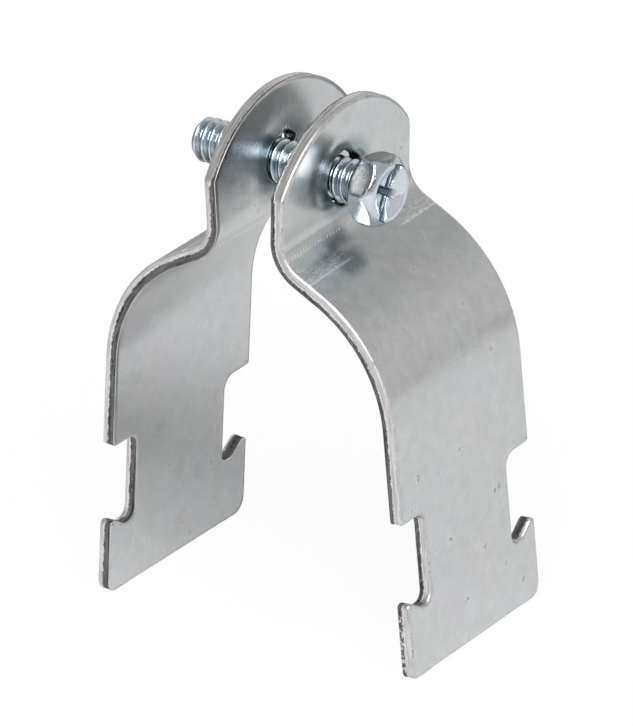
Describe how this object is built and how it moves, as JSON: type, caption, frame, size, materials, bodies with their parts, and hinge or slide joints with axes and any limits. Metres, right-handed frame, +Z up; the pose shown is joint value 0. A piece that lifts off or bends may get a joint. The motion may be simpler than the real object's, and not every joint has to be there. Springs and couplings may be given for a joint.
{
  "type": "strut clamp",
  "caption": "Split pipe clamp of zinc-coated strap: curved halves with hooked feet for a slotted channel, drawn together by a machine screw through pressed ears.",
  "frame": {"origin": "middle of the box round the open clamp, on the level that both feet stand on", "axes": "+Z up from the channel to the screw, +Y across the strap, which is along the pipe, +X along the screw toward its head to within one degree"},
  "size_m": [0.0526, 0.0332, 0.0745],
  "materials": {
    "galvanised_strap": "pale, slightly mottled zinc coating with fine pits and scratches, darker on the cut edges",
    "plated_screw": "bright zinc plating, a little blue, grey in the recess and thread roots"
  },
  "bodies": {
    "tip_side": {"tip_side_half": "galvanised_strap"},
    "head_side": {"head_side_half": "galvanised_strap"},
    "fastener": {"screw": "plated_screw"}
  },
  "joints": [
    {"name": "closing", "type": "slide", "parent": "tip_side", "child": "head_side", "axis": [-0.9999, 0, 0.0103], "range_m": [-0.01016, 0.00698]},
    {"name": "screw_turn", "type": "hinge", "parent": "head_side", "child": "fastener", "pos_m": [-0.00048, -0.00051, 0.06302], "axis": [-0.9999, 0, 0.0103], "range_deg": [-2881, 1981]}
  ],
  "couplings": [
    {"joint": "screw_turn", "follows": "closing", "rad_per_m": 4947.4}
  ]
}
